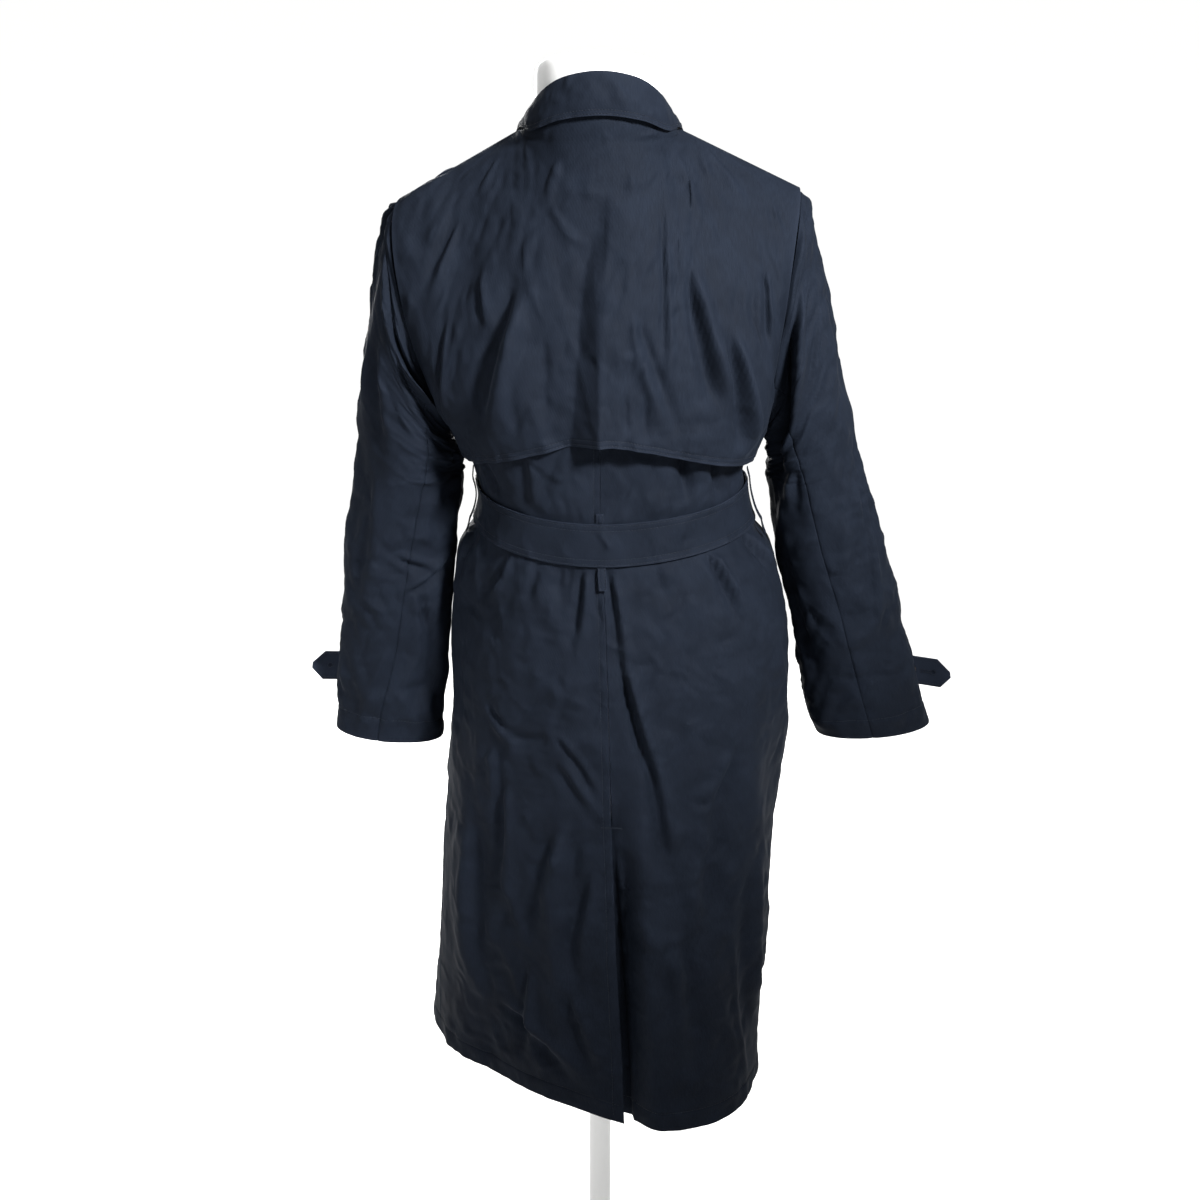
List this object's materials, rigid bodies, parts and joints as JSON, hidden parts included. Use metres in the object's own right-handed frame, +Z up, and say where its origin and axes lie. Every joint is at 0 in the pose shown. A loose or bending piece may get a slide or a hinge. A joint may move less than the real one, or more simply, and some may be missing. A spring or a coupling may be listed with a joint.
{
  "type": "trench coat on a dress form",
  "caption": "Knee-length belted trench coat with storm flap, lapels, vent and cuff tabs, hanging worn on a limbless dress form with a pole stand.",
  "frame": {"origin": "centre of the stand's round base, on its underside, at floor level", "axes": "+Z up along the pole, -Y the way the coat's front faces, +X towards the wearer's left"},
  "size_m": [0.7128, 0.3741, 1.5327],
  "materials": {
    "gabardine": "navy cotton gabardine, matt twill",
    "horn": "dark horn-effect resin, soft gloss",
    "form": "white moulded plastic, satin",
    "metal": "white powder-coated steel, satin"
  },
  "bodies": {
    "root": {"back_left": "gabardine", "back_right": "gabardine", "front_left": "gabardine", "front_right": "gabardine", "storm_flap": "gabardine", "lapel_left": "gabardine", "lapel_right": "gabardine", "collar_fall": "gabardine", "collar_stand": "gabardine", "top_sleeve_left": "gabardine", "under_sleeve_left": "gabardine", "top_sleeve_right": "gabardine", "under_sleeve_right": "gabardine", "cuff_tab_left": "gabardine", "cuff_tab_right": "gabardine", "belt": "gabardine", "belt_loop_back": "gabardine", "belt_loop_left": "gabardine", "belt_loop_right": "gabardine", "buckle": "horn", "cuff_button_left": "horn", "cuff_button_right": "horn", "button_1": "horn", "button_2": "horn", "button_3": "horn", "button_4": "horn", "button_5": "horn", "button_6": "horn", "button_7": "horn", "button_8": "horn", "form_torso": "form", "form_pole": "metal", "form_base": "metal"}
  },
  "joints": []
}
